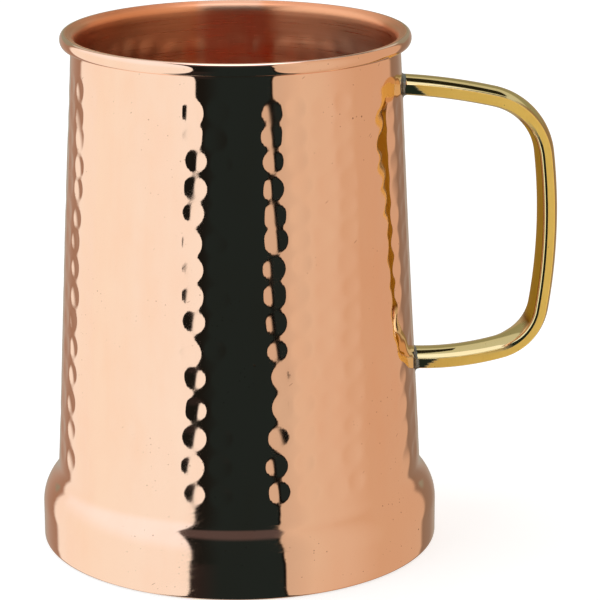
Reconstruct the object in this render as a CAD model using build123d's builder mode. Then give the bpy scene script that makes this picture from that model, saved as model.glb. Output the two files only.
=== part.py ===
"""A hammered copper mug with a rolled lip, a stepped foot and a cast brass handle.

The mug stands on z = 0 with its axis on Z. The handle lies in the XZ plane, on the +X side.
All lengths are in millimetres.
"""

import os
from math import atan2, cos, degrees, radians, sin

from build123d import *

os.makedirs("parts", exist_ok=True)

# ---- Driving dimensions: the copper body ----
height = 127.0
sheet = 0.9

rim_radius = 42.2
lip_height = 3.1
lip_outer_round = 1.2
lip_inner_round = 1.6
lip_root_round = 0.4

neck_radius = 39.57
corner_radius = 45.1
corner_height = 17.05
corner_round = 5.6

foot_radius = 49.0
foot_band_height = 8.9
foot_edge_round = 0.8

# ---- Driving dimensions: the base disc and its solder ----
base_thickness = 1.2
base_seam_leg = 1.6

# ---- Driving dimensions: the cast brass handle ----
strap_width = 11.5
strap_side = 2.1
strap_crown = 1.3
strap_edge_round = 0.35
strap_root = 4.0

joint_radius = 40.5
upper_joint_height = 113.2
upper_joint_slope = 3.75
handle_bends = (
    (139.0, 9.25),
    (16.2, 69.9),
    (141.0, 16.0),
    (13.0, 66.4),
    (70.4, 18.9),
)

# ---- Driving dimensions: the handle's solder collars ----
solder_gap = 0.3
solder_collar = 0.5
solder_reach = 1.2
strap_blank = 10.0

# ---- Derived sizes ----
lip_underside = height - lip_height
wall_taper = (corner_radius - neck_radius) / (lip_underside - corner_height)
shoulder_sweep = 2 * atan2(foot_radius - corner_radius, corner_height - foot_band_height)
shoulder_round = (corner_height - foot_band_height) / sin(shoulder_sweep)
shoulder_centre = foot_radius - shoulder_round
foot_inner_radius = foot_radius - sheet


def wall_radius(z, standoff=0.0):
    """Outer radius of the tapered wall at height z, plus a horizontal stand-off."""
    return neck_radius + wall_taper * (lip_underside - z) + standoff


def near(sketch, x, y):
    """The vertex of a sketch that lies nearest to the point x, y."""
    return sketch.vertices().sort_by_distance((x, y))[0]


# ---- Copper body: foot band, shoulder, tapered wall and closed rolled lip, one drawn sheet ----
with BuildPart() as body_shell:
    with BuildSketch(Plane.XZ) as body_profile:
        with BuildLine():
            Polyline((0, 0), (foot_radius, 0), (foot_radius, foot_band_height))
            shoulder = CenterArc(
                (shoulder_centre, foot_band_height), shoulder_round, 0, degrees(shoulder_sweep)
            )
            Polyline(
                shoulder @ 1,
                (neck_radius, lip_underside),
                (rim_radius, lip_underside),
                (rim_radius, height),
                (0, height),
                (0, 0),
            )
        make_face()
        with BuildLine():
            Polyline(
                (0, 0),
                (foot_inner_radius, 0),
                (foot_inner_radius, foot_band_height),
                (wall_radius(foot_band_height, -sheet), foot_band_height),
                (wall_radius(height, -sheet), height),
                (0, height),
                close=True,
            )
        make_face(mode=Mode.SUBTRACT)
        with Locations((shoulder_centre, foot_band_height)):
            Circle(shoulder_round - sheet, mode=Mode.SUBTRACT)
        fillet(near(body_profile, foot_radius, 0), radius=foot_edge_round)
        fillet(near(body_profile, corner_radius, corner_height), radius=corner_round)
        fillet(near(body_profile, corner_radius - sheet, corner_height), radius=corner_round + sheet)
        fillet(near(body_profile, neck_radius, lip_underside), radius=lip_root_round)
        fillet(near(body_profile, rim_radius, lip_underside), radius=lip_outer_round)
        fillet(near(body_profile, rim_radius, height), radius=lip_outer_round)
        fillet(near(body_profile, wall_radius(height, -sheet), height), radius=lip_inner_round)
    revolve(axis=Axis.Z)

body_shell.part.label = "body_shell"
export_step(body_shell.part, "parts/body_shell.step")

# ---- Base: a flat copper disc set flush in the foot, and the solder run round its upper edge ----
with BuildPart() as base_disc:
    with BuildSketch(Plane.XY):
        Circle(foot_inner_radius)
    extrude(amount=base_thickness)

base_disc.part.label = "base_disc"
export_step(base_disc.part, "parts/base_disc.step")

with BuildPart() as base_solder_seam:
    with BuildSketch(Plane.XZ):
        with BuildLine():
            inner_end = (foot_inner_radius - base_seam_leg, base_thickness)
            upper_end = (foot_inner_radius, base_thickness + base_seam_leg)
            Polyline(upper_end, (foot_inner_radius, base_thickness), inner_end)
            RadiusArc(inner_end, upper_end, base_seam_leg)
        make_face()
    revolve(axis=Axis.Z)

base_solder_seam.part.label = "base_solder_seam"
export_step(base_solder_seam.part, "parts/base_solder_seam.step")


# ---- Cast brass handle: one strap swept along five tangent bends ----
def strap_section(plane, grow=0.0):
    """Cross-section of the strap: flat sides, with crowned inner and outer faces."""
    half_width = strap_width / 2
    half_side = strap_side / 2
    crest = half_side + strap_crown
    with BuildSketch(plane) as section:
        with BuildLine():
            Line((half_width, -half_side), (half_width, half_side))
            ThreePointArc((half_width, half_side), (0, crest), (-half_width, half_side))
            Line((-half_width, half_side), (-half_width, -half_side))
            ThreePointArc((-half_width, -half_side), (0, -crest), (half_width, -half_side))
        make_face()
        fillet(section.vertices(), radius=strap_edge_round)
        if grow > 0:
            offset(amount=grow, kind=Kind.ARC)
    return section.sketch


def section_plane(point, direction):
    """Plane square to the strap, with the strap's width along Y."""
    return Plane(origin=point, x_dir=(0, 1, 0), z_dir=direction)


def wall_core(standoff):
    """Half-profile of the space inside the wall's outer face, grown by a stand-off."""
    with BuildSketch(Plane.XZ) as core:
        with BuildLine():
            Polyline(
                (0, corner_height),
                (wall_radius(corner_height, standoff), corner_height),
                (wall_radius(height, standoff), height),
                (0, height),
                close=True,
            )
        make_face()
    return core.sketch


upper_heading = (cos(radians(upper_joint_slope)), -sin(radians(upper_joint_slope)))

with BuildLine(Plane.XZ) as strap_line:
    root_end = (joint_radius, upper_joint_height)
    root_start = (
        joint_radius - strap_root * upper_heading[0],
        upper_joint_height - strap_root * upper_heading[1],
    )
    run = Line(root_start, root_end)
    for bend_radius, turn in handle_bends:
        run = JernArc(run @ 1, run % 1, bend_radius, -turn)
    Line(run @ 1, (run @ 1) + (run % 1) * strap_root)

upper_root = section_plane(strap_line.line @ 0, strap_line.line % 0)
lower_root = section_plane(strap_line.line @ 1, strap_line.line % 1)

with BuildPart() as handle:
    sweep(sections=strap_section(upper_root), path=strap_line.line)
    revolve(wall_core(solder_gap), axis=Axis.Z, mode=Mode.SUBTRACT)

handle.part.label = "handle"
export_step(handle.part, "parts/handle.step")

# ---- Solder collars: each fills the gap between a strap end and the wall, and wraps its edges ----
collar_places = (
    ("upper_handle_solder", upper_root, strap_blank),
    ("lower_handle_solder", lower_root, -strap_blank),
)
for name, root, blank in collar_places:
    with BuildPart() as collar:
        extrude(strap_section(root, grow=solder_collar), amount=blank)
        revolve(wall_core(solder_reach), axis=Axis.Z, mode=Mode.INTERSECT)
        revolve(wall_core(0.0), axis=Axis.Z, mode=Mode.SUBTRACT)
        add(handle.part, mode=Mode.SUBTRACT)
    collar.part.label = name
    export_step(collar.part, f"parts/{name}.step")

# ---- A swept strap has the volume of its section times its length ----
strap_volume = strap_section(upper_root).area * strap_line.wire().length
print("untrimmed strap", round(strap_volume), "mm3, trimmed handle", round(handle.part.volume), "mm3")
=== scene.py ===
import math
import random

import bpy
import numpy as np
from mathutils import Matrix, Vector


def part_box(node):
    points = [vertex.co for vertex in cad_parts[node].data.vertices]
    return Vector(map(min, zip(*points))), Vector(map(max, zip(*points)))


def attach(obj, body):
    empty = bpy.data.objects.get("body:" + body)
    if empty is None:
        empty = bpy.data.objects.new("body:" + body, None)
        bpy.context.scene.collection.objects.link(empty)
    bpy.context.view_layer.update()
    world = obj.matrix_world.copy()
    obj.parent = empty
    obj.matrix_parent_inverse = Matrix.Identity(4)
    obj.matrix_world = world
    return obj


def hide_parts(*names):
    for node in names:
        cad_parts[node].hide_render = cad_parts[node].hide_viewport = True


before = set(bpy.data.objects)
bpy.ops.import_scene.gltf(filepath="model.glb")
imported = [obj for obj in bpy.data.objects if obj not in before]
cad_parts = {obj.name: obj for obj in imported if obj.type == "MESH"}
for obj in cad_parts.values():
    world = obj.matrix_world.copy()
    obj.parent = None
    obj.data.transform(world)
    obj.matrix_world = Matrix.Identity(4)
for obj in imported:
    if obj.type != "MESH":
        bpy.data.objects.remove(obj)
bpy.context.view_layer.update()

MM = 0.001
TAU = 2 * math.pi

shell_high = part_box("body_shell")[1]
handle_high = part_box("handle")[1]

# ---- Sizes of the copper body, in millimetres ----
HEIGHT = shell_high.z / MM
FOOT_RADIUS = shell_high.x / MM
SHEET = 0.9
NECK_RADIUS = 39.57
LIP_UNDERSIDE = HEIGHT - 3.1
CORNER_RADIUS = 45.1
CORNER_HEIGHT = 17.05
CORNER_ROUND = 5.6
FOOT_BAND = 8.9
FOOT_EDGE = 0.8
TAPER = (CORNER_RADIUS - NECK_RADIUS) / (LIP_UNDERSIDE - CORNER_HEIGHT)

# ---- Sizes of the handle, in millimetres ----
STRAP_HALF_WIDTH = handle_high.y / MM
STRAP_HALF_SIDE = 1.05
STRAP_CROWN = 1.3
JOINT = (40.5, 113.2)
JOINT_SLOPE = 3.75
BENDS = ((139.0, 9.25), (16.2, 69.9), (141.0, 16.0), (13.0, 66.4), (70.4, 18.9))
STRAP_EDGE = 0.35
SOLDER_GAP = 0.3
LOWER_JOINT_HEIGHT = 44.2

# ---- Rolled lip, inner wall and mesh density ----
LIP_CENTRE_RADIUS = 41.2
LIP_INNER_HEIGHT = 124.7
WALL_TOP = 119.5
INNER_BREAK = 99.0
COLUMNS = 400
WALL_ROWS = 139
SETTLE_STEPS_STRAP = 12
SETTLE_STEPS_BEAD = 10


def wall_radius(z):
    """Outer radius of the plain tapered wall at height z."""
    return NECK_RADIUS + TAPER * (LIP_UNDERSIDE - z)


def inner_radius(z):
    """Inner radius of the plain tapered wall at height z."""
    return wall_radius(z) - SHEET


def slide_to_wall(point, direction, clearance, steps):
    """Move a point along the strap until it stands this far outside the wall."""
    px, py, pz = point
    sign = 1 if direction[0] > 0 else -1
    for _ in range(steps):
        gap = math.hypot(px, py) - wall_radius(pz) - clearance
        px -= sign * direction[0] * gap
        pz -= sign * direction[1] * gap
    return px, py, pz


# ---------------------------------------------------------------- node helpers
class Tree:
    """A node tree with short calls for the nodes used here."""

    def __init__(self, tree):
        self.tree = tree
        tree.nodes.clear()

    def new(self, kind, **settings):
        made = self.tree.nodes.new(kind)
        for key, value in settings.items():
            setattr(made, key, value)
        return made

    def feed(self, socket, value):
        if isinstance(value, bpy.types.NodeSocket):
            self.tree.links.new(value, socket)
        else:
            socket.default_value = value

    def math(self, operation, first, second=0.0, third=0.0, clamp=False):
        made = self.new("ShaderNodeMath", operation=operation, use_clamp=clamp)
        for socket, value in zip(made.inputs, (first, second, third)):
            self.feed(socket, value)
        return made.outputs[0]

    def vector(self, operation, first, second=(0, 0, 0)):
        made = self.new("ShaderNodeVectorMath", operation=operation)
        self.feed(made.inputs[0], first)
        self.feed(made.inputs[1], second)
        return made.outputs[0]

    def combine(self, x, y, z):
        made = self.new("ShaderNodeCombineXYZ")
        for socket, value in zip(made.inputs, (x, y, z)):
            self.feed(socket, value)
        return made.outputs[0]

    def separate(self, value):
        made = self.new("ShaderNodeSeparateXYZ")
        self.feed(made.inputs[0], value)
        return made.outputs

    def step(self, value, low, high):
        """0 below low, 1 above high, smooth between."""
        made = self.new("ShaderNodeMapRange", interpolation_type="SMOOTHSTEP")
        self.feed(made.inputs["Value"], value)
        self.feed(made.inputs["From Min"], low)
        self.feed(made.inputs["From Max"], high)
        return made.outputs["Result"]

    def span(self, value, low, high, out_low, out_high):
        made = self.new("ShaderNodeMapRange", clamp=True)
        self.feed(made.inputs["Value"], value)
        for name, number in (
            ("From Min", low), ("From Max", high), ("To Min", out_low), ("To Max", out_high),
        ):
            made.inputs[name].default_value = number
        return made.outputs["Result"]

    def ramp(self, value, stops, interpolation="LINEAR"):
        made = self.new("ShaderNodeValToRGB")
        band = made.color_ramp
        band.interpolation = interpolation
        while len(band.elements) > 1:
            band.elements.remove(band.elements[-1])
        band.elements[0].position = stops[0][0]
        band.elements[0].color = (*stops[0][1], 1)
        for place, colour in stops[1:]:
            band.elements.new(place).color = (*colour, 1)
        self.feed(made.inputs[0], value)
        return made.outputs["Color"]

    def mix(self, factor, first, second, blend="MIX"):
        made = self.new("ShaderNodeMix", data_type="RGBA", blend_type=blend)
        self.feed(made.inputs["Factor"], factor)
        self.feed(made.inputs[6], first if isinstance(first, bpy.types.NodeSocket) else (*first, 1))
        self.feed(made.inputs[7], second if isinstance(second, bpy.types.NodeSocket) else (*second, 1))
        return made.outputs[2]

    def noise(self, vector, scale, detail=2.0, roughness=0.5, distortion=0.0):
        made = self.new("ShaderNodeTexNoise")
        self.feed(made.inputs["Vector"], vector)
        made.inputs["Scale"].default_value = scale
        made.inputs["Detail"].default_value = detail
        made.inputs["Roughness"].default_value = roughness
        made.inputs["Distortion"].default_value = distortion
        return made.outputs["Fac"]

    def cells(self, vector, scale):
        made = self.new("ShaderNodeTexVoronoi")
        self.feed(made.inputs["Vector"], vector)
        made.inputs["Scale"].default_value = scale
        return made.outputs["Distance"], made.outputs["Color"]

    def bump(self, height, strength, distance, normal=None):
        made = self.new("ShaderNodeBump")
        self.feed(made.inputs["Height"], height)
        made.inputs["Strength"].default_value = strength
        made.inputs["Distance"].default_value = distance
        if normal is not None:
            self.feed(made.inputs["Normal"], normal)
        return made.outputs["Normal"]


def material(name):
    made = bpy.data.materials.new(name)
    made.use_nodes = True
    return made, Tree(made.node_tree)


def metal(tree, colour, roughness, normal=None, anisotropy=0.0, tangent=None, metallic=1.0,
          edge=(1.0, 1.0, 1.0)):
    """A metal shader wired to the output."""
    shader = tree.new("ShaderNodeBsdfPrincipled")
    tree.feed(shader.inputs["Metallic"], metallic)
    tree.feed(shader.inputs["Base Color"], colour)
    tree.feed(shader.inputs["Roughness"], roughness)
    shader.inputs["Anisotropic"].default_value = anisotropy
    # a quarter turn, so that highlights stretch across the brush lines
    shader.inputs["Anisotropic Rotation"].default_value = 0.25
    shader.inputs["Specular IOR Level"].default_value = 0.0
    shader.inputs["Specular Tint"].default_value = (*edge, 1)
    if normal is not None:
        tree.feed(shader.inputs["Normal"], normal)
    if tangent is not None:
        tree.feed(shader.inputs["Tangent"], tangent)
    output = tree.new("ShaderNodeOutputMaterial")
    tree.tree.links.new(shader.outputs[0], output.inputs["Surface"])
    return shader


def object_position(tree):
    return tree.new("ShaderNodeTexCoord").outputs["Object"]


def round_body(tree):
    """Coordinates unrolled round the mug's axis, in metres: along the girth, up, and out."""
    x, y, z = tree.separate(object_position(tree))
    girth = tree.math("MULTIPLY", tree.math("ARCTAN2", y, x), 0.042)
    out = tree.math("SQRT", tree.math("ADD", tree.math("MULTIPLY", x, x), tree.math("MULTIPLY", y, y)))
    return girth, z, out


# ---------------------------------------------------------------- copper outside
COPPER = (0.955, 0.645, 0.53)
SPECK = (0.16, 0.075, 0.04)


def brushed_lines(tree, along, across, fine, turn):
    """Fine hairlines: noise stretched along one direction, turned by an angle in degrees."""
    c, s = math.cos(math.radians(turn)), math.sin(math.radians(turn))
    first = tree.math("ADD", tree.math("MULTIPLY", along, c), tree.math("MULTIPLY", across, s))
    second = tree.math("SUBTRACT", tree.math("MULTIPLY", across, c), tree.math("MULTIPLY", along, s))
    stretched = tree.combine(tree.math("MULTIPLY", first, 0.06), second, 0.0)
    return tree.noise(stretched, fine, 3.0, 0.6)


def copper_outside():
    made, tree = material("hammered_copper_polished")
    girth, up, out = round_body(tree)
    place = object_position(tree)
    cloud = tree.noise(place, 38, 3.0, 0.55)
    upright = tree.combine(tree.math("MULTIPLY", girth, 3.0), tree.math("MULTIPLY", up, 0.6), 0.0)
    streak = tree.noise(upright, 60, 3.0, 0.55)
    tone = tree.math("ADD", tree.math("MULTIPLY", cloud, 0.6), tree.math("MULTIPLY", streak, 0.4))
    colour = tree.ramp(tone, ((0.32, (0.955, 0.615, 0.49)), (0.5, COPPER), (0.68, (0.96, 0.665, 0.55))))
    # small dark pits, gathered in patches
    near, pick = tree.cells(place, 420)
    chosen = tree.math("GREATER_THAN", tree.separate(pick)[0], 0.80)
    patch = tree.step(tree.noise(place, 55, 1.0), 0.50, 0.62)
    size = tree.math("MULTIPLY", tree.separate(pick)[1], 0.11)
    pit = tree.math("MULTIPLY", tree.math("LESS_THAN", near, size), tree.math("MULTIPLY", chosen, patch))
    # short scratches
    lengthwise = tree.math("ADD", tree.math("MULTIPLY", girth, 0.8), tree.math("MULTIPLY", up, 0.6))
    crosswise = tree.math("SUBTRACT", tree.math("MULTIPLY", up, 0.8), tree.math("MULTIPLY", girth, 0.6))
    slanted = tree.combine(lengthwise, tree.math("MULTIPLY", crosswise, 6.0), out)
    near_line, pick_line = tree.cells(slanted, 150)
    line = tree.math(
        "MULTIPLY",
        tree.math("LESS_THAN", near_line, 0.09),
        tree.math("GREATER_THAN", tree.separate(pick_line)[0], 0.93),
    )
    # finer pits, closer together
    near_dot, pick_dot = tree.cells(place, 1000)
    dotted = tree.math("GREATER_THAN", tree.separate(pick_dot)[0], 0.66)
    cluster = tree.step(tree.noise(tree.vector("ADD", place, (0.3, 0.1, 0.2)), 40, 2.0), 0.50, 0.60)
    dot_size = tree.math("MULTIPLY", tree.separate(pick_dot)[1], 0.2)
    dot = tree.math("LESS_THAN", near_dot, dot_size)
    dot = tree.math("MULTIPLY", dot, tree.math("MULTIPLY", dotted, cluster))
    mark = tree.math("MAXIMUM", tree.math("MULTIPLY", pit, 0.75), tree.math("MULTIPLY", line, 0.4))
    mark = tree.math("MAXIMUM", mark, tree.math("MULTIPLY", dot, 0.42))
    colour = tree.mix(mark, colour, SPECK)
    # the left of the front is a little hazy from rubbing, most of all low down
    left = tree.math("SUBTRACT", 1.0, tree.step(girth, -0.0755, -0.069))
    low = tree.math("SUBTRACT", 1.0, tree.step(up, 0.016, 0.046))
    rubbed = tree.step(tree.noise(place, 70, 3.0, 0.6), 0.50, 0.62)
    scratch = brushed_lines(tree, girth, up, 2600, 33)
    haze = tree.math("MULTIPLY", left, tree.math("MAXIMUM", low, tree.math("MULTIPLY", rubbed, 0.8)))
    # and so is the narrow band where the shoulder turns
    off_band = tree.math("ABSOLUTE", tree.math("SUBTRACT", up, 0.0145))
    blend = tree.math("SUBTRACT", 1.0, tree.math("GREATER_THAN", off_band, 0.0028))
    haze = tree.math("MAXIMUM", haze, tree.math("MULTIPLY", blend, 0.9))
    cloudy = tree.span(tree.noise(place, 90, 4.0, 0.6), 0.3, 0.75, 0.025, 0.06)
    rub = tree.math("MULTIPLY", haze, tree.span(scratch, 0.35, 0.7, 0.0, 0.07))
    roughness = tree.math("ADD", tree.math("ADD", cloudy, rub), tree.math("MULTIPLY", mark, 0.3))
    hair = brushed_lines(tree, girth, up, 9000, 24)
    hair = tree.math("ADD", hair, tree.math("MULTIPLY", tree.math("MULTIPLY", scratch, haze), 6.0))
    normal = tree.bump(hair, 0.04, 0.00002)
    metal(tree, colour, roughness, normal)
    return made


def copper_inside():
    made, tree = material("brushed_copper_inside")
    girth, up, out = round_body(tree)
    place = object_position(tree)
    level = tree.combine(tree.math("MULTIPLY", girth, 0.015), up, tree.math("MULTIPLY", out, 0.3))
    lines = tree.noise(level, 2600, 4.0, 0.65)
    cloud = tree.noise(place, 45, 3.0)
    tone = tree.math("ADD", tree.math("MULTIPLY", lines, 0.7), tree.math("MULTIPLY", cloud, 0.3))
    colour = tree.ramp(tone, (
        (0.3, (0.90, 0.48, 0.33)),
        (0.52, (0.95, 0.54, 0.38)),
        (0.72, (0.97, 0.58, 0.42)),
    ))
    # painted shade: darker, duller colour down the left and right of the inside, as seen from the camera
    x = tree.separate(place)[0]
    across = tree.math("DIVIDE", tree.math("ABSOLUTE", x), out)
    wander = tree.math("MULTIPLY", tree.math("SUBTRACT", cloud, 0.5), 0.12)
    sides = tree.step(tree.math("ADD", across, wander), 0.42, 0.93)
    sides = tree.math("MULTIPLY", sides, tree.math("SUBTRACT", 1.0, tree.step(up, 0.1165, 0.1235)))
    colour = tree.mix(sides, colour, tree.mix(1.0, colour, (0.86, 0.97, 1.0), "MULTIPLY"))
    # painted shade: browner, darker colour between the middle and the sides, deepening lower down in the
    # cup
    flank_shade = tree.step(tree.math("ABSOLUTE", x), 0.0065, 0.0095)
    flank_shade = tree.math("MULTIPLY", flank_shade, tree.math("SUBTRACT", 1.0, sides))
    depth_shade_tint = tree.mix(tree.step(up, 0.100, 0.118), (0.98, 0.52, 0.33), (1.0, 0.82, 0.68))
    colour = tree.mix(flank_shade, colour, tree.mix(1.0, colour, depth_shade_tint, "MULTIPLY"))
    satin = tree.new("ShaderNodeAttribute", attribute_name="satin").outputs["Fac"]
    grain = tree.span(lines, 0.3, 0.7, 0.05, 0.12)
    roughness = tree.math("ADD", tree.math("MULTIPLY", satin, 0.21), grain)
    normal = tree.bump(lines, 0.22, 0.00004)
    tangent = tree.new("ShaderNodeTangent", direction_type="RADIAL", axis="Z").outputs[0]
    metal(tree, colour, roughness, normal, anisotropy=0.85, tangent=tangent)
    return made


def base_copper():
    """Turned copper: rings round the centre."""
    made, tree = material("turned_base_copper")
    girth, _, out = round_body(tree)
    place = object_position(tree)
    rings = tree.noise(tree.combine(out, tree.math("MULTIPLY", girth, 0.01), 0.0), 1800, 4.0, 0.6)
    cloud = tree.noise(place, 60, 3.0)
    tone = tree.math("ADD", tree.math("MULTIPLY", rings, 0.6), tree.math("MULTIPLY", cloud, 0.4))
    colour = tree.ramp(tone, ((0.3, (0.88, 0.46, 0.31)), (0.7, (0.95, 0.56, 0.41))))
    roughness = tree.span(rings, 0.3, 0.7, 0.22, 0.36)
    normal = tree.bump(rings, 0.35, 0.00006)
    tangent = tree.new("ShaderNodeTangent", direction_type="RADIAL", axis="Z").outputs[0]
    metal(tree, colour, roughness, normal, anisotropy=0.3, tangent=tangent)
    return made


# ---------------------------------------------------------------- brass
BRASS = (0.92, 0.75, 0.42)
SANDED_BRASS = (0.98, 0.66, 0.16)


def brass():
    """Polished brass, with flat-sanded sides (satin) and an inner face on the grip that is rougher from
    wear and darkened to olive as painted shade (worn).
    """
    made, tree = material("cast_brass")
    place = object_position(tree)
    satin = tree.new("ShaderNodeAttribute", attribute_name="satin").outputs["Fac"]
    wear_and_shade = tree.new("ShaderNodeAttribute", attribute_name="wear_and_shade").outputs["Fac"]
    cloud = tree.noise(place, 120, 4.0, 0.6)
    grain = tree.noise(tree.vector("MULTIPLY", place, (1.0, 1.0, 0.25)), 2600, 3.0, 0.6)
    tone = tree.math("ADD", tree.math("MULTIPLY", cloud, 0.6), tree.math("MULTIPLY", grain, 0.4))
    polished = tree.ramp(tone, (
        (0.3, (0.89, 0.71, 0.37)),
        (0.52, BRASS),
        (0.72, (0.94, 0.78, 0.46)),
    ))
    sanded = tree.ramp(tone, (
        (0.3, (0.93, 0.61, 0.135)),
        (0.52, SANDED_BRASS),
        (0.72, (1.0, 0.69, 0.185)),
    ))
    colour = tree.mix(satin, polished, sanded)
    # painted shade: where the grip's inner face looks toward the body its colour is darkened to olive,
    # darkest on the round beside the side face
    grip_wear_shade = tree.ramp(wear_and_shade, (
        (0.0, (1.0, 1.0, 1.0)),
        (0.5, (0.30, 0.17, 0.03)),
        (0.85, (0.50, 0.37, 0.055)),
        (1.0, (0.52, 0.38, 0.06)),
    ))
    colour = tree.mix(1.0, colour, grip_wear_shade, "MULTIPLY")
    near, pick = tree.cells(place, 620)
    pit = tree.math(
        "MULTIPLY",
        tree.math("LESS_THAN", near, 0.10),
        tree.math("GREATER_THAN", tree.separate(pick)[0], 0.85),
    )
    colour = tree.mix(tree.math("MULTIPLY", pit, 0.45), colour, (0.25, 0.15, 0.04))
    bright = tree.span(cloud, 0.3, 0.7, 0.04, 0.08)
    flat = tree.span(grain, 0.3, 0.7, 0.50, 0.62)
    roughness = tree.math("ADD", bright, tree.math("MULTIPLY", satin, tree.math("SUBTRACT", flat, bright)))
    roughness = tree.math("MAXIMUM", roughness, tree.math("MULTIPLY", wear_and_shade, 0.30))
    height = tree.math("MULTIPLY", grain, satin)
    normal = tree.bump(height, 0.25, 0.00003)
    soft = tree.math("MULTIPLY", tree.math("MAXIMUM", satin, wear_and_shade), 0.75)
    metallic = tree.math("SUBTRACT", 1.0, soft)
    metal(tree, colour, roughness, normal, metallic=metallic, edge=(0.95, 0.84, 0.64))
    return made


def solder(name, dark, light, rough_low, rough_high):
    made, tree = material(name)
    place = object_position(tree)
    cloud = tree.noise(place, 700, 4.0, 0.6)
    fine = tree.noise(place, 3000, 2.0)
    colour = tree.ramp(cloud, ((0.35, dark), (0.65, light)))
    roughness = tree.span(fine, 0.3, 0.7, rough_low, rough_high)
    normal = tree.bump(cloud, 0.5, 0.0001)
    metal(tree, colour, roughness, normal)
    return made


# ---------------------------------------------------------------- hammer marks
MARK_ROWS = 15
MARKS_ROUND = 41
TOP_MARK_ROW = 115.6
# how sharply one dish meets the next
MARK_EDGE = 60.0
# the marked wall, and the lengths over which the slow waves fade out at its ends
MARKED_LOW, MARKED_HIGH = 18, 121


def lay_hammer_marks():
    """Centres of the hammer marks: girth angle, height, depth and radius, in millimetres."""
    draw = random.Random(41)
    marks = []
    first_angle = math.radians(-106.3)
    z = TOP_MARK_ROW
    for row in range(MARK_ROWS):
        phase = draw.uniform(-0.11, 0.11)
        for k in range(MARKS_ROUND):
            angle = first_angle + (k + phase + draw.uniform(-0.12, 0.12)) * TAU / MARKS_ROUND
            height = z + draw.uniform(-0.6, 0.6)
            depth = draw.uniform(0.155, 0.225)
            # shallower beside the handle, on its -Y side
            turned = math.degrees(math.remainder(angle, TAU))
            depth *= 1 - 0.5 * math.exp(-(turned + 31) ** 2 / 180)
            radius = draw.uniform(2.6, 3.2)
            side = abs(math.remainder(angle, TAU)) * wall_radius(z)
            nearest_joint = min(abs(height - JOINT[1]), abs(height - LOWER_JOINT_HEIGHT))
            if side < 8.5 and nearest_joint < 5.5:
                continue
            marks.append((angle, height, depth, radius))
        z -= 5.85 + 0.1 * row
    return np.array(marks)


MARKS = lay_hammer_marks()


def relief(angles, z):
    """How far the wall stands in (negative) at these angles on height z, from marks and slow waves."""
    if not MARKED_LOW < z < MARKED_HIGH:
        return np.zeros_like(angles)
    near = MARKS[np.abs(MARKS[:, 1] - z) < 4.5]
    deep = np.zeros_like(angles)
    if len(near):
        turn = (angles[:, None] - near[None, :, 0] + math.pi) % TAU - math.pi
        away = (turn * wall_radius(z)) ** 2 + (z - near[None, :, 1]) ** 2
        dish = near[None, :, 2] * (1 - away / near[None, :, 3] ** 2)
        deep = np.log1p(np.exp(np.clip(MARK_EDGE * dish, -40, 40)).sum(1)) / MARK_EDGE
    fade = min(1.0, (z - MARKED_LOW) / 14, (MARKED_HIGH - z) / 12)
    slow = 0.09 * np.cos(5 * angles + z * 0.035 + 0.8) + 0.05 * np.cos(9 * angles - z * 0.06 + 2.1)
    return -deep + fade * slow


# ---------------------------------------------------------------- meshes
def arc(centre, radius_r, radius_z, start, stop, count):
    """Points on an ellipse from start to stop degrees, both included."""
    return [
        (centre[0] + radius_r * math.cos(a), centre[1] + radius_z * math.sin(a))
        for a in np.radians(np.linspace(start, stop, count))
    ]


def straight(first, last, count):
    return [
        (first[0] + (last[0] - first[0]) * t, first[1] + (last[1] - first[1]) * t)
        for t in np.linspace(0, 1, count)
    ]


def foot_and_shoulder(inset):
    """Half-profile from the top of the foot band, round the shoulder, to the start of the wall."""
    foot = FOOT_RADIUS
    sweep = 2 * math.atan2(foot - CORNER_RADIUS, CORNER_HEIGHT - FOOT_BAND)
    radius = (CORNER_HEIGHT - FOOT_BAND) / math.sin(sweep)
    centre = (foot - radius, FOOT_BAND)
    # the concave arc that is tangent to the wall line and to the shoulder circle
    lean = math.atan(TAPER)
    outward = (math.cos(lean), math.sin(lean))
    round_radius = CORNER_ROUND
    offset_r = CORNER_RADIUS + outward[0] * round_radius
    offset_z = CORNER_HEIGHT + outward[1] * round_radius
    along = (-math.sin(lean), math.cos(lean))
    # slide along the wall line until the two circles just touch
    dr, dz = offset_r - centre[0], offset_z - centre[1]
    b = dr * along[0] + dz * along[1]
    c = dr * dr + dz * dz - (radius + round_radius) ** 2
    slide = -b + math.sqrt(b * b - c)
    round_centre = (offset_r + along[0] * slide, offset_z + along[1] * slide)
    touch = math.degrees(math.atan2(round_centre[1] - centre[1], round_centre[0] - centre[0]))
    convex, concave = radius - inset, round_radius + inset
    points = arc(centre, convex, convex, 0, touch, 14)
    points += arc(round_centre, concave, concave, 180 + touch, 180 + math.degrees(lean), 10)[1:]
    return points


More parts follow.
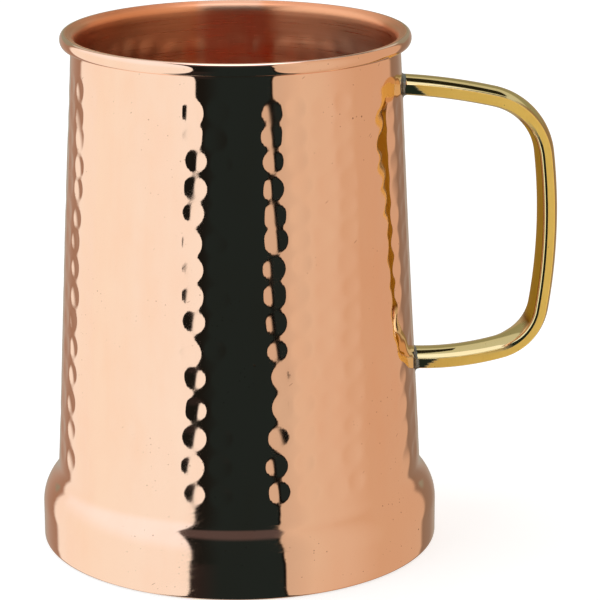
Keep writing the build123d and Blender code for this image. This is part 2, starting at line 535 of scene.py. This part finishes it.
def body_profile():
    """Closed half-profile of the copper sheet, as rows of (radius, height, satin, half)."""
    rows = []
    outer = [(FOOT_RADIUS - SHEET, 0.0), (FOOT_RADIUS - FOOT_EDGE, 0.0)]
    outer += arc((FOOT_RADIUS - FOOT_EDGE, FOOT_EDGE), FOOT_EDGE, FOOT_EDGE, -90, 0, 6)[1:]
    outer += straight((FOOT_RADIUS, FOOT_EDGE), (FOOT_RADIUS, FOOT_BAND), 6)[1:-1]
    shoulder = foot_and_shoulder(0.0)
    outer += shoulder
    wall_start = shoulder[-1]
    wall_top = (wall_radius(WALL_TOP), WALL_TOP)
    wall_end = (wall_radius(LIP_UNDERSIDE - 0.45), LIP_UNDERSIDE - 0.45)
    outer += straight(wall_start, wall_top, WALL_ROWS)[1:]
    outer += straight(wall_top, wall_end, 5)[1:]
    outer += arc((NECK_RADIUS + 0.45, LIP_UNDERSIDE - 0.42), 0.43, 0.42, 170, 95, 4)[1:]
    lip_centre = (LIP_CENTRE_RADIUS, LIP_UNDERSIDE + 1.55)
    outer += arc(lip_centre, 1.0, 1.55, -95, 90, 17)
    rows += [(r, z, 0.0, False) for r, z in outer]
    # the roll's inner side starts softer than the wall, and its last rows have half the columns
    roll_width = LIP_CENTRE_RADIUS - inner_radius(LIP_INNER_HEIGHT)
    roll = arc((LIP_CENTRE_RADIUS, LIP_INNER_HEIGHT), roll_width, 2.3, 90, 180, 9)[1:]
    for k, (r, z) in enumerate(roll):
        rows.append((r, z, 2.0 if k < 3 else 1.3, k > 5))
    for z in np.linspace(LIP_INNER_HEIGHT, INNER_BREAK, 23)[1:]:
        rows.append((inner_radius(z), z, 1.0, True))
    shoulder_in = foot_and_shoulder(SHEET)
    for z in np.linspace(INNER_BREAK, shoulder_in[-1][1], 52)[1:-1]:
        rows.append((inner_radius(z), z, 1.0, True))
    for r, z in reversed(shoulder_in[::2]):
        rows.append((r, z, 1.0, True))
    for z in (5.0, 2.0):
        rows.append((FOOT_RADIUS - SHEET, z, 1.0, True))
    return rows


def ring_faces(first, first_count, second, second_count):
    """Faces between two closed rings, the second with as many points, half or twice as many."""
    faces = []
    if first_count == second_count:
        for k in range(first_count):
            n = (k + 1) % first_count
            faces.append((first + k, first + n, second + n, second + k))
    elif first_count == 2 * second_count:
        for k in range(second_count):
            n = (k + 1) % second_count
            a, b, c = first + 2 * k, first + 2 * k + 1, first + (2 * k + 2) % first_count
            faces += [(a, b, second + k), (b, second + n, second + k), (b, c, second + n)]
    else:
        for k in range(first_count):
            n = (k + 1) % first_count
            a, b, c = second + 2 * k, second + 2 * k + 1, second + (2 * k + 2) % second_count
            faces += [(first + k, b, a), (first + k, first + n, b), (first + n, c, b)]
    return faces


def mesh_object(name, points, faces, materials):
    mesh = bpy.data.meshes.new(name)
    mesh.from_pydata([tuple(p) for p in points], [], faces)
    mesh.validate()
    for one in materials:
        mesh.materials.append(one)
    mesh.polygons.foreach_set("use_smooth", [True] * len(mesh.polygons))
    made = bpy.data.objects.new(name, mesh)
    bpy.context.scene.collection.objects.link(made)
    return made


def float_attribute(piece, name, values):
    attribute = piece.data.attributes.new(name, "FLOAT", "POINT")
    attribute.data.foreach_set("value", np.array(values, np.float32))


def build_body():
    rows = body_profile()
    points, satin, starts, counts = [], [], [], []
    for r, z, soft, half in rows:
        count = COLUMNS // 2 if half else COLUMNS
        angles = np.arange(count) * TAU / count
        # the marks show a little more on the inner face
        radius = r + relief(angles, z) * (1.5 if soft else 1.0)
        starts.append(len(points))
        counts.append(count)
        ring = np.stack([radius * np.cos(angles), radius * np.sin(angles), np.full(count, z)], 1)
        points.extend((ring * MM).tolist())
        satin.extend([soft] * count)
    faces, inside = [], []
    for k in range(len(rows)):
        n = (k + 1) % len(rows)
        made = ring_faces(starts[k], counts[k], starts[n], counts[n])
        faces += made
        inside += [1 if rows[k][2] > 0 or rows[n][2] > 0 else 0] * len(made)
    piece = mesh_object("hammered_body", points, faces, [copper_outside(), copper_inside()])
    piece.data.polygons.foreach_set("material_index", inside)
    float_attribute(piece, "satin", satin)
    return piece


def handle_path():
    """Points along the strap with heading in radians, in the XZ plane."""
    heading = -math.radians(JOINT_SLOPE)
    x, z = JOINT
    path = [(x, z, heading)]
    for radius, turn in BENDS:
        steps = max(8, round(radius * math.radians(turn) / 0.3))
        each = math.radians(turn) / steps
        cx, cz = x + radius * math.sin(heading), z - radius * math.cos(heading)
        for _ in range(steps):
            heading -= each
            x, z = cx - radius * math.sin(heading), cz + radius * math.cos(heading)
            path.append((x, z, heading))
    shift = handle_high.x / MM - (max(p[0] for p in path) + STRAP_HALF_SIDE + STRAP_CROWN)
    return [(x + shift, z, h) for x, z, h in path]


def strap_outline(bevel):
    """Half cross-section on the -Y side, from the outer crest to the inner crest.

    Rows of (across, out, satin, worn), where worn is wear together with painted shade. With bevel 1 the
    inner face is flatter and meets the side in a round and a narrow slanted facet.
    """
    half, side, edge = STRAP_HALF_WIDTH, STRAP_HALF_SIDE, STRAP_EDGE
    crown_radius = (half ** 2 + STRAP_CROWN ** 2) / (2 * STRAP_CROWN)

    def crown(u):
        return side + STRAP_CROWN - (crown_radius - math.sqrt(crown_radius ** 2 - u * u))

    outline = [(-u, crown(u), 0.0, 0.0) for u in np.linspace(0, half - edge, 18)]
    top = crown(half - edge)
    for a in np.radians((32, 48, 64, 80)):
        across, out = half - edge + edge * math.sin(a), top - edge + edge * math.cos(a)
        outline.append((-across, out, 0.0 if a < 0.8 else 1.0, 0.0))
    outline += [(-half, v, 1.0, 0.0) for v in np.linspace(top - edge, 0.5 - side, 7)]
    # the inner edge and face as they are on the runs, and as they are on the grip
    plain = [(half, rise - side) for rise in (0.42, 0.25, 0.10, 0.04)]
    plain += [
        (half - edge + edge * math.cos(a), 0.04 - side - edge * 0.9 * math.sin(a))
        for a in np.radians((25, 42, 58))
    ]
    plain += [(u, -crown(u)) for u in np.linspace(half - edge, 0, 18)]
    facet = [
        (half - back, rise - side)
        for back, rise in ((0.0, 0.46), (0.01, 0.42), (0.06, 0.24), (0.115, 0.05))
    ]
    flat_half, flat_rise, roll = 4.9, 0.62, 1.03
    centre_u = flat_half - roll * math.sin(math.radians(14.2))
    centre_v = -(side + STRAP_CROWN - flat_rise) + roll * math.cos(math.radians(14.2))
    facet += [
        (centre_u + roll * math.sin(a), centre_v - roll * math.cos(a))
        for a in np.radians((73, 64, 55, 46, 37, 29, 22))
    ]
    facet += [
        (u, -(side + STRAP_CROWN - flat_rise * (u / flat_half) ** 2))
        for u in np.linspace(flat_half, 0, 14)
    ]
    # wear and painted shade by row, from the side to the inner crest; the painted shade is darkest on the
    # round
    side_rows, edge_rows, round_rows = 6, 3, 2
    wear_and_shade_rows = [0.0] * side_rows + [0.15] * edge_rows + [0.5] * round_rows
    wear_and_shade_rows += [1.0] * (len(plain) - len(wear_and_shade_rows))
    for k, ((u0, v0), (u1, v1)) in enumerate(zip(plain, facet)):
        satin = 1.0 - bevel if k < side_rows else 0.0
        outline.append((-(u0 + (u1 - u0) * bevel), v0 + (v1 - v0) * bevel, satin, wear_and_shade_rows[k]))
    return outline


RAGGED_TEETH = 60


def build_handle():
    path = handle_path()
    total = len(path)
    points, satin, wear_and_shade, starts = [], [], [], []
    steps = [math.dist(path[k][:2], path[k + 1][:2]) for k in range(total - 1)]
    along = np.concatenate([[0], np.cumsum(steps)])
    draw = random.Random(5)
    ragged = [draw.uniform(-0.5, 0.5) for _ in range(RAGGED_TEETH)]
    for k, (x, z, heading) in enumerate(path):
        turned = -math.degrees(heading)
        bevel = min(1.0, max(0.0, (turned - 42) / 30), max(0.0, (172 - turned) / 22))
        # how far along the strap the grip's inner face gets its wear and its painted shade
        grip_wear_shade = min(1.0, max(0.0, (turned - 34) / 20), max(0.0, (128 - turned) / 22))
        outline = strap_outline(bevel)
        loop = outline + [(-u, v, s, w) for u, v, s, w in outline[1:-1]][::-1]
        direction = (math.cos(heading), math.sin(heading))
        outward = (-math.sin(heading), math.cos(heading))
        starts.append(len(points))
        for j, (u, v, s, w) in enumerate(loop):
            # the sides are still mirror-bright close to the wall, with a slanting, ragged edge
            tooth = ragged[j % RAGGED_TEETH]
            from_upper = along[k] - (3.0 - 1.3 * v + tooth * 0.5)
            from_lower = along[-1] - along[k] - (4.9 - 1.3 * v + tooth)
            s *= min(max(from_upper, 0.0), max(from_lower, 0.0), 1.0)
            px, py, pz = x + outward[0] * v, u, z + outward[1] * v
            if k in (0, total - 1):
                # carry the end back, or on, to just off the wall
                px, py, pz = slide_to_wall((px, py, pz), direction, SOLDER_GAP, SETTLE_STEPS_STRAP)
            points.append((px * MM, py * MM, pz * MM))
            satin.append(s)
            wear_and_shade.append(w * grip_wear_shade)
    count = len(loop)
    faces = []
    for k in range(total - 1):
        for j in range(count):
            n = (j + 1) % count
            faces.append((starts[k] + j, starts[k + 1] + j, starts[k + 1] + n, starts[k] + n))
    faces.append(tuple(starts[0] + j for j in range(count)))
    faces.append(tuple(starts[-1] + j for j in reversed(range(count))))
    piece = mesh_object("strap_handle", points, faces, [brass()])
    float_attribute(piece, "satin", satin)
    float_attribute(piece, "wear_and_shade", wear_and_shade)
    return piece, path


def build_bead(name, joint, seed):
    """An uneven run of solder round a strap end, bridging the gap to the wall."""
    x, z, heading = joint
    draw = random.Random(seed)
    direction = (math.cos(heading), math.sin(heading))
    outward = (-math.sin(heading), math.cos(heading))
    outline = strap_outline(0.0)
    # even spacing round the strap
    ring = np.array([row[:2] for row in outline] + [(-row[0], row[1]) for row in outline[-2:0:-1]])
    closed = np.vstack([ring, ring[:1]])
    lengths = np.concatenate([[0], np.cumsum(np.hypot(*np.diff(closed, axis=0).T))])
    steps = 96
    at = np.linspace(0, lengths[-1], steps, endpoint=False)
    us, vs = np.interp(at, lengths, closed[:, 0]), np.interp(at, lengths, closed[:, 1])
    waves = [(draw.uniform(0.04, 0.12), n, draw.uniform(0, TAU)) for n in (2, 3, 5, 8, 13)]
    points, faces = [], []

    def add_point(u, v, clearance):
        start = (x + outward[0] * v, u, z + outward[1] * v)
        px, py, pz = slide_to_wall(start, direction, clearance, SETTLE_STEPS_BEAD)
        points.append((px * MM, py * MM, pz * MM))

    section = 9
    for k in range(steps):
        t = TAU * k / steps
        swell = 1 + sum(a * math.sin(n * t + p) for a, n, p in waves)
        nu, nv = us[(k + 1) % steps] - us[k - 1], vs[(k + 1) % steps] - vs[k - 1]
        norm = math.hypot(nu, nv)
        nu, nv = (nv / norm, -nu / norm)
        if nu * us[k] + nv * vs[k] < 0:
            nu, nv = -nu, -nv
        size = 0.85 * swell
        for j in range(section):
            a = j / (section - 1) * math.pi / 2
            lift = size * (1 - math.sin(a)) * 0.9 + 0.02
            run = size * (1 - math.cos(a)) + 0.02
            add_point(us[k] + nu * lift, vs[k] + nv * lift, run)
        # the hidden back of the bead, inside the strap and the gap
        for lift, run in ((-0.3, size * 0.9), (-0.3, -0.15)):
            add_point(us[k] + nu * lift, vs[k] + nv * lift, run)
    each = section + 2
    for k in range(steps):
        n = (k + 1) % steps
        for j in range(each):
            m = (j + 1) % each
            face = (k * each + j, n * each + j, n * each + m, k * each + m)
            faces.append(face if direction[0] > 0 else face[::-1])
    look = solder(name + "_metal", (0.10, 0.11, 0.125), (0.30, 0.32, 0.35), 0.18, 0.38)
    return mesh_object(name, points, faces, [look])


# ---------------------------------------------------------------- the object
body = build_body()
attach(body, "root")
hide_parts("body_shell")

handle, path = build_handle()
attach(handle, "root")
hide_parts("handle")

for name, node, joint, seed in (
    ("upper_solder_bead", "upper_handle_solder", path[0], 7),
    ("lower_solder_bead", "lower_handle_solder", path[-1], 19),
):
    bead = build_bead(name, joint, seed)
    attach(bead, "root")
    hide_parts(node)

for node, look in (
    ("base_disc", base_copper()),
    ("base_solder_seam", solder("seam_tin", (0.45, 0.44, 0.43), (0.68, 0.67, 0.65), 0.28, 0.45)),
):
    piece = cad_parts[node]
    if piece.data.materials:
        for k in range(len(piece.data.materials)):
            piece.data.materials[k] = look
    else:
        piece.data.materials.append(look)

# ---------------------------------------------------------------- floor
floor_mesh = bpy.data.meshes.new("studio_floor")
FLOOR_REACH, FLOOR_HEIGHT = 8.0, -0.00005
corners = ((-1, -1), (1, -1), (1, 1), (-1, 1))
floor_mesh.from_pydata(
    [(i * FLOOR_REACH, j * FLOOR_REACH, FLOOR_HEIGHT) for i, j in corners],
    [],
    [(0, 1, 2, 3)],
)
floor = bpy.data.objects.new("studio_floor", floor_mesh)
bpy.context.scene.collection.objects.link(floor)
floor_look, tree = material("pale_floor")
paint = tree.new("ShaderNodeBsdfPrincipled")
mottle = tree.noise(object_position(tree), 3.0, 2.0)
tone = tree.ramp(mottle, ((0.3, (0.50, 0.52, 0.56)), (0.7, (0.52, 0.54, 0.58))))
tree.feed(paint.inputs["Base Color"], tone)
paint.inputs["Roughness"].default_value = 0.9
paint.inputs["Specular IOR Level"].default_value = 0.0
paint.inputs["Emission Color"].default_value = (1, 1, 1, 1)
paint.inputs["Emission Strength"].default_value = 0.70
output = tree.new("ShaderNodeOutputMaterial")
tree.tree.links.new(paint.outputs[0], output.inputs["Surface"])
floor_mesh.materials.append(floor_look)
floor.visible_glossy = False

# ---------------------------------------------------------------- studio surroundings
CAMERA_SIDE = -92.0


def studio():
    world = bpy.data.worlds.new("studio")
    bpy.context.scene.world = world
    world.use_nodes = True
    tree = Tree(world.node_tree)
    generated = tree.new("ShaderNodeTexCoord").outputs["Generated"]
    turned = tree.new("ShaderNodeVectorRotate", rotation_type="Z_AXIS")
    tree.feed(turned.inputs["Vector"], generated)
    turned.inputs["Angle"].default_value = math.radians(-CAMERA_SIDE)
    front, side, up = tree.separate(turned.outputs[0])
    azimuth = tree.math("DEGREES", tree.math("ARCTAN2", side, front))
    height = tree.math("DEGREES", tree.math("ARCSINE", up))

    def degrees(*stops):
        return [((angle + 180) / 360, colour) for angle, colour in stops]

    around = tree.ramp(tree.math("ADD", tree.math("DIVIDE", azimuth, 360.0), 0.5), degrees(
        (-180, (0.40, 0.38, 0.31)),
        (-166, (0.46, 0.40, 0.33)),
        (-155, (0.47, 0.36, 0.28)),
        (-145, (0.42, 0.29, 0.21)),
        (-136, (0.38, 0.245, 0.165)),
        (-132.5, (1.02, 1.00, 0.88)),
        (-100, (1.03, 1.04, 0.90)),
        (-60, (1.03, 1.07, 0.96)),
        (0, (1.04, 1.10, 1.02)),
        (1, (0.64, 0.52, 0.36)),
        (30, (0.70, 0.57, 0.41)),
        (44, (0.79, 0.64, 0.455)),
        (66, (0.765, 0.59, 0.41)),
        (90, (0.69, 0.485, 0.305)),
        (132, (0.68, 0.48, 0.31)),
        (136, (0.29, 0.205, 0.135)),
        (150, (0.31, 0.23, 0.165)),
        (162, (0.42, 0.35, 0.28)),
        (180, (0.40, 0.38, 0.31)),
    ))
    # the left side is whiter higher up
    lit = tree.math("MULTIPLY", tree.step(azimuth, -132.0, -126.0), tree.math("LESS_THAN", azimuth, 0.5))
    lit = tree.math("MULTIPLY", tree.math("MULTIPLY", lit, tree.step(height, 0.0, 34.0)), 0.7)
    around = tree.mix(lit, around, (1.12, 1.22, 1.24))
    # the back of the room: a dim wall, a pale strip, a dark opening, then the bright ceiling
    off_axis = tree.math("ABSOLUTE", azimuth)
    back = tree.step(off_axis, 138.0, 142.0)
    wall = tree.math("MULTIPLY", tree.step(height, 2.0, 7.0), back)
    colour = tree.mix(wall, around, (0.32, 0.325, 0.235))
    strip = tree.math("MULTIPLY", tree.step(height, 22.0, 24.5), back)
    colour = tree.mix(strip, colour, (0.62, 0.63, 0.54))
    past = tree.math("SUBTRACT", azimuth, 166.0)
    aside = tree.math("DIVIDE", past, 19.0)
    droop = tree.math("MULTIPLY", tree.math("MAXIMUM", past, 0.0), 0.45)
    raised = tree.math("DIVIDE", tree.math("SUBTRACT", tree.math("ADD", height, droop), 41.5), 7.3)
    spread = tree.math("MULTIPLY", aside, aside)
    spread = tree.math("ADD", spread, tree.math("MULTIPLY", raised, raised))
    colour = tree.mix(tree.step(spread, 1.15, 0.85), colour, (0.018, 0.016, 0.008))
    ceiling = tree.math("MULTIPLY", tree.step(height, 49.0, 51.0), back)
    colour = tree.mix(ceiling, colour, (1.12, 1.14, 1.18))
    # the dark gap on the camera's side
    high = tree.step(height, 8.0, 50.0)
    from_right = tree.math("ADD", side, tree.math("MULTIPLY", high, 0.085))
    left_edge = tree.step(side, -0.465, -0.452)
    right_edge = tree.math("SUBTRACT", 1.0, tree.step(from_right, 0.408, 0.422))
    gap = tree.math("MULTIPLY", left_edge, right_edge)
    gap = tree.math("MULTIPLY", gap, tree.math("GREATER_THAN", front, 0.0))
    dusty = tree.mix(tree.step(height, -16.0, -21.5), (0.011, 0.012, 0.010), (0.026, 0.022, 0.020))
    shade = tree.mix(tree.step(side, -0.42, -0.16), dusty, (0.015, 0.025, 0.024))
    shade = tree.mix(tree.step(from_right, 0.385, 0.40), shade, (0.005, 0.005, 0.004))
    shade = tree.mix(tree.step(height, 40.0, 52.0), shade, (0.098, 0.080, 0.076))
    colour = tree.mix(gap, colour, shade)
    # the overhead light
    overhead = tree.step(height, 66.0, 69.0)
    colour = tree.mix(overhead, colour, (1.35, 1.34, 1.30))
    seen = tree.new("ShaderNodeLightPath").outputs["Is Camera Ray"]
    colour = tree.mix(seen, colour, (1.0, 1.0, 1.0))
    light = tree.new("ShaderNodeBackground")
    tree.feed(light.inputs["Color"], colour)
    output = tree.new("ShaderNodeOutputWorld")
    tree.tree.links.new(light.outputs[0], output.inputs["Surface"])


studio()

lamp_data = bpy.data.lights.new("overhead_softbox", "AREA")
lamp_data.shape = "SQUARE"
lamp_data.size = 0.8
lamp_data.energy = 2.0
lamp = bpy.data.objects.new("overhead_softbox", lamp_data)
lamp.location = (0, 0, 1.6)
bpy.context.scene.collection.objects.link(lamp)

# ---------------------------------------------------------------- camera
DISTANCE, EYE_HEIGHT = 0.65937, 0.25064
LOOK_AZIMUTH, LOOK_DOWN, ROLL = map(math.radians, (86.673, 16.162, -0.153))
camera_data = bpy.data.cameras.new("camera")
camera_data.sensor_width = 36.0
camera_data.lens = 167.145
camera_data.clip_start, camera_data.clip_end = 0.05, 50.0
camera = bpy.data.objects.new("camera", camera_data)
bpy.context.scene.collection.objects.link(camera)
ahead = Vector((
    math.cos(LOOK_AZIMUTH) * math.cos(LOOK_DOWN),
    math.sin(LOOK_AZIMUTH) * math.cos(LOOK_DOWN),
    -math.sin(LOOK_DOWN),
))
level = Vector((math.sin(LOOK_AZIMUTH), -math.cos(LOOK_AZIMUTH), 0.0))
upward = level.cross(ahead)
right = level * math.cos(ROLL) + upward * math.sin(ROLL)
top = upward * math.cos(ROLL) - level * math.sin(ROLL)
camera.matrix_world = Matrix.Translation((
    DISTANCE * math.cos(math.radians(CAMERA_SIDE)),
    DISTANCE * math.sin(math.radians(CAMERA_SIDE)),
    EYE_HEIGHT,
)) @ Matrix((right, top, -ahead)).transposed().to_4x4()
bpy.context.scene.camera = camera
bpy.context.scene.view_settings.view_transform = "Standard"
